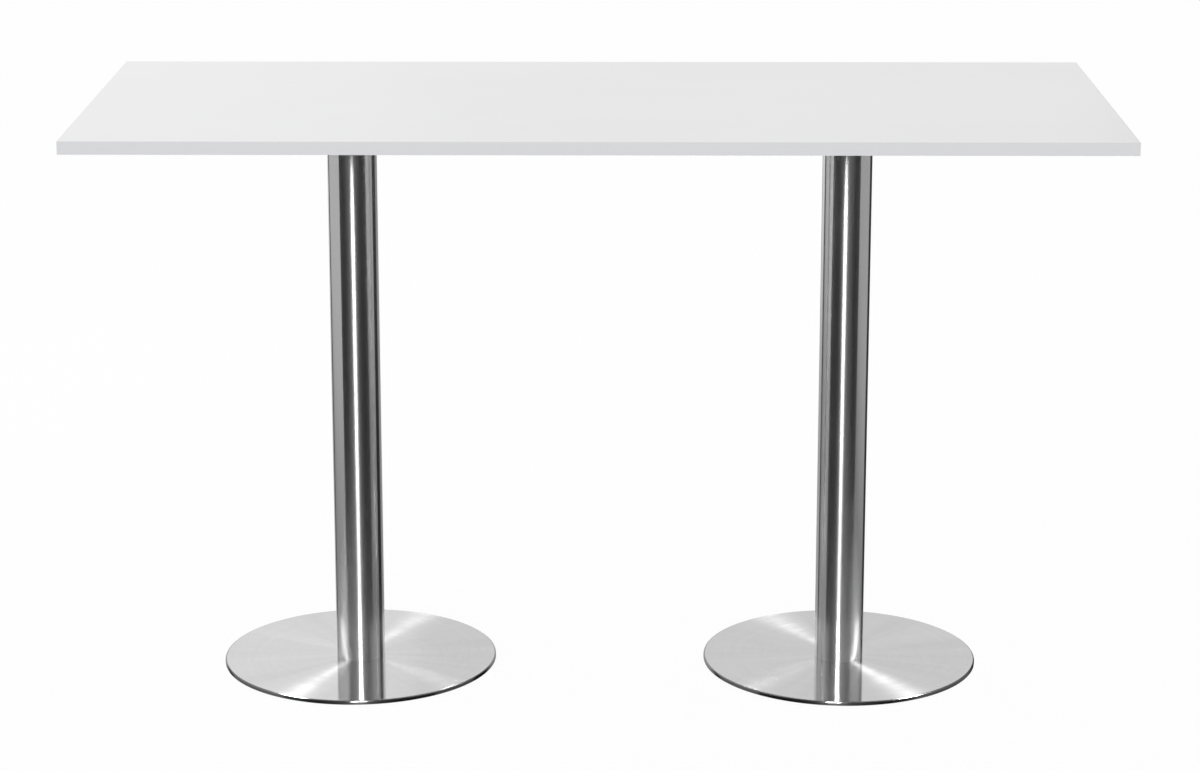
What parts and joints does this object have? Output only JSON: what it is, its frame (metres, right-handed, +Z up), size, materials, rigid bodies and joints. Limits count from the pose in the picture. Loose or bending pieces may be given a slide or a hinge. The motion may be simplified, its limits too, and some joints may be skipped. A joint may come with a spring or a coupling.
{
  "type": "high table",
  "caption": "Standing-height rectangular table with a laminate top on round brushed-steel columns and flat disc feet with levelling glides.",
  "frame": {"origin": "on the floor, under the centre of the top", "axes": "+X along the length of the top, +Y towards its back, +Z up"},
  "size_m": [1.8, 0.8, 1.05],
  "materials": {
    "core_board": "raw particle board",
    "laminate": "satin high-pressure laminate",
    "balancer": "satin balancing laminate",
    "edge_band": "satin edge band",
    "stainless": "brushed stainless steel",
    "plate_lacquer": "black lacquered steel plate",
    "turned_steel": "turned steel",
    "black_screws": "black oxide",
    "zinc_steel": "zinc plated",
    "spider_coat": "black powder coat on cast iron",
    "pad_nylon": "moulded nylon",
    "stem_steel": "zinc plated"
  },
  "bodies": {
    "table": {"top_core": "core_board", "top_laminate": "laminate", "top_balancer": "balancer", "band_front": "edge_band", "band_back": "edge_band", "band_left": "edge_band", "band_right": "edge_band", "left_base_cover": "stainless", "left_base_plate": "plate_lacquer", "left_base_hub": "turned_steel", "left_hub_screws": "black_screws", "left_column_tube": "stainless", "left_tie_rod": "zinc_steel", "left_rod_washer": "zinc_steel", "left_rod_nut": "zinc_steel", "left_spider": "spider_coat", "left_top_screws": "zinc_steel", "right_base_cover": "stainless", "right_base_plate": "plate_lacquer", "right_base_hub": "turned_steel", "right_hub_screws": "black_screws", "right_column_tube": "stainless", "right_tie_rod": "zinc_steel", "right_rod_washer": "zinc_steel", "right_rod_nut": "zinc_steel", "right_spider": "spider_coat", "right_top_screws": "zinc_steel"},
    "left_front_outer_glide": {"left_front_outer_pad": "pad_nylon"},
    "left_front_outer_screw": {"left_front_outer_stem": "stem_steel"},
    "left_front_inner_glide": {"left_front_inner_pad": "pad_nylon"},
    "left_front_inner_screw": {"left_front_inner_stem": "stem_steel"},
    "left_back_outer_glide": {"left_back_outer_pad": "pad_nylon"},
    "left_back_outer_screw": {"left_back_outer_stem": "stem_steel"},
    "left_back_inner_glide": {"left_back_inner_pad": "pad_nylon"},
    "left_back_inner_screw": {"left_back_inner_stem": "stem_steel"},
    "right_front_outer_glide": {"right_front_outer_pad": "pad_nylon"},
    "right_front_outer_screw": {"right_front_outer_stem": "stem_steel"},
    "right_front_inner_glide": {"right_front_inner_pad": "pad_nylon"},
    "right_front_inner_screw": {"right_front_inner_stem": "stem_steel"},
    "right_back_outer_glide": {"right_back_outer_pad": "pad_nylon"},
    "right_back_outer_screw": {"right_back_outer_stem": "stem_steel"},
    "right_back_inner_glide": {"right_back_inner_pad": "pad_nylon"},
    "right_back_inner_screw": {"right_back_inner_stem": "stem_steel"}
  },
  "joints": [
    {"name": "left_front_outer_height", "type": "slide", "parent": "table", "child": "left_front_outer_glide", "axis": [0, 0, -1], "range_m": [0, 0.003]},
    {"name": "left_front_outer_turn", "type": "hinge", "parent": "left_front_outer_glide", "child": "left_front_outer_screw", "pos_m": [-0.58534, -0.14284, 0], "axis": [0, 0, -1], "range_deg": [0, 864]},
    {"name": "left_front_inner_height", "type": "slide", "parent": "table", "child": "left_front_inner_glide", "axis": [0, 0, -1], "range_m": [0, 0.003]},
    {"name": "left_front_inner_turn", "type": "hinge", "parent": "left_front_inner_glide", "child": "left_front_inner_screw", "pos_m": [-0.29966, -0.14284, 0], "axis": [0, 0, -1], "range_deg": [0, 864]},
    {"name": "left_back_outer_height", "type": "slide", "parent": "table", "child": "left_back_outer_glide", "axis": [0, 0, -1], "range_m": [0, 0.003]},
    {"name": "left_back_outer_turn", "type": "hinge", "parent": "left_back_outer_glide", "child": "left_back_outer_screw", "pos_m": [-0.58534, 0.14284, 0], "axis": [0, 0, -1], "range_deg": [0, 864]},
    {"name": "left_back_inner_height", "type": "slide", "parent": "table", "child": "left_back_inner_glide", "axis": [0, 0, -1], "range_m": [0, 0.003]},
    {"name": "left_back_inner_turn", "type": "hinge", "parent": "left_back_inner_glide", "child": "left_back_inner_screw", "pos_m": [-0.29966, 0.14284, 0], "axis": [0, 0, -1], "range_deg": [0, 864]},
    {"name": "right_front_outer_height", "type": "slide", "parent": "table", "child": "right_front_outer_glide", "axis": [0, 0, -1], "range_m": [0, 0.003]},
    {"name": "right_front_outer_turn", "type": "hinge", "parent": "right_front_outer_glide", "child": "right_front_outer_screw", "pos_m": [0.58534, -0.14284, 0], "axis": [0, 0, -1], "range_deg": [0, 864]},
    {"name": "right_front_inner_height", "type": "slide", "parent": "table", "child": "right_front_inner_glide", "axis": [0, 0, -1], "range_m": [0, 0.003]},
    {"name": "right_front_inner_turn", "type": "hinge", "parent": "right_front_inner_glide", "child": "right_front_inner_screw", "pos_m": [0.29966, -0.14284, 0], "axis": [0, 0, -1], "range_deg": [0, 864]},
    {"name": "right_back_outer_height", "type": "slide", "parent": "table", "child": "right_back_outer_glide", "axis": [0, 0, -1], "range_m": [0, 0.003]},
    {"name": "right_back_outer_turn", "type": "hinge", "parent": "right_back_outer_glide", "child": "right_back_outer_screw", "pos_m": [0.58534, 0.14284, 0], "axis": [0, 0, -1], "range_deg": [0, 864]},
    {"name": "right_back_inner_height", "type": "slide", "parent": "table", "child": "right_back_inner_glide", "axis": [0, 0, -1], "range_m": [0, 0.003]},
    {"name": "right_back_inner_turn", "type": "hinge", "parent": "right_back_inner_glide", "child": "right_back_inner_screw", "pos_m": [0.29966, 0.14284, 0], "axis": [0, 0, -1], "range_deg": [0, 864]}
  ],
  "couplings": [
    {"joint": "left_front_outer_turn", "follows": "left_front_outer_height", "rad_per_m": 5026.5},
    {"joint": "left_front_inner_turn", "follows": "left_front_inner_height", "rad_per_m": 5026.5},
    {"joint": "left_back_outer_turn", "follows": "left_back_outer_height", "rad_per_m": 5026.5},
    {"joint": "left_back_inner_turn", "follows": "left_back_inner_height", "rad_per_m": 5026.5},
    {"joint": "right_front_outer_turn", "follows": "right_front_outer_height", "rad_per_m": 5026.5},
    {"joint": "right_front_inner_turn", "follows": "right_front_inner_height", "rad_per_m": 5026.5},
    {"joint": "right_back_outer_turn", "follows": "right_back_outer_height", "rad_per_m": 5026.5},
    {"joint": "right_back_inner_turn", "follows": "right_back_inner_height", "rad_per_m": 5026.5}
  ]
}
